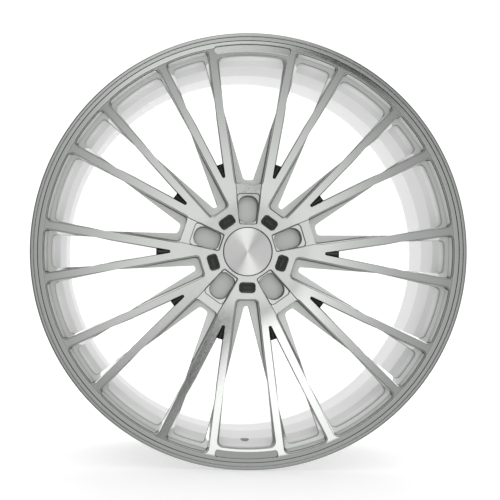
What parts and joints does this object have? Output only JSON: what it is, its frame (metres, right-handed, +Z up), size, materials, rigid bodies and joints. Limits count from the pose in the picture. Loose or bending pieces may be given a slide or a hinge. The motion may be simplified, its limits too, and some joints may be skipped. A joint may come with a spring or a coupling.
{
  "type": "forged racing wheel rim",
  "caption": "Large forged alloy wheel rim with a concave centre of thin split spokes, a spun barrel, black inserts and a push-fit centre cap.",
  "frame": {"origin": "the middle of the wheel, on the axle, half way between the two flange faces", "axes": "the axle runs along Y, the street side faces -Y, and +Z is up, with the valve hole at the bottom"},
  "size_m": [0.5974, 0.292, 0.5974],
  "materials": {
    "brushed_alloy": "fine brushed and clear coated",
    "satin_barrel": "satin bead-blasted",
    "spun_cap": "spun, fine concentric turning marks",
    "black_insert": "satin moulded black",
    "spring_wire": "drawn wire",
    "zinc_bolt": "bright zinc"
  },
  "bodies": {
    "wheel": {"barrel": "satin_barrel", "wheel_centre": "brushed_alloy", "hub_insert_1": "black_insert", "hub_insert_2": "black_insert", "hub_insert_3": "black_insert", "hub_insert_4": "black_insert", "hub_insert_5": "black_insert", "spoke_wedge_1": "black_insert", "spoke_wedge_2": "black_insert", "spoke_wedge_3": "black_insert", "spoke_wedge_4": "black_insert", "spoke_wedge_5": "black_insert", "spoke_wedge_6": "black_insert", "spoke_wedge_7": "black_insert", "spoke_wedge_8": "black_insert", "spoke_wedge_9": "black_insert", "spoke_wedge_10": "black_insert", "assembly_bolt_1": "zinc_bolt", "assembly_bolt_2": "zinc_bolt", "assembly_bolt_3": "zinc_bolt", "assembly_bolt_4": "zinc_bolt", "assembly_bolt_5": "zinc_bolt", "assembly_bolt_6": "zinc_bolt", "assembly_bolt_7": "zinc_bolt", "assembly_bolt_8": "zinc_bolt", "assembly_bolt_9": "zinc_bolt", "assembly_bolt_10": "zinc_bolt", "assembly_bolt_11": "zinc_bolt", "assembly_bolt_12": "zinc_bolt", "assembly_bolt_13": "zinc_bolt", "assembly_bolt_14": "zinc_bolt", "assembly_bolt_15": "zinc_bolt", "assembly_bolt_16": "zinc_bolt", "assembly_bolt_17": "zinc_bolt", "assembly_bolt_18": "zinc_bolt", "assembly_bolt_19": "zinc_bolt", "assembly_bolt_20": "zinc_bolt"},
    "cap": {"centre_cap": "spun_cap", "cap_retaining_ring": "spring_wire"}
  },
  "joints": [
    {"name": "cap_pull", "type": "slide", "parent": "wheel", "child": "cap", "axis": [0, -1, 0], "range_m": [0, 0.035]}
  ]
}
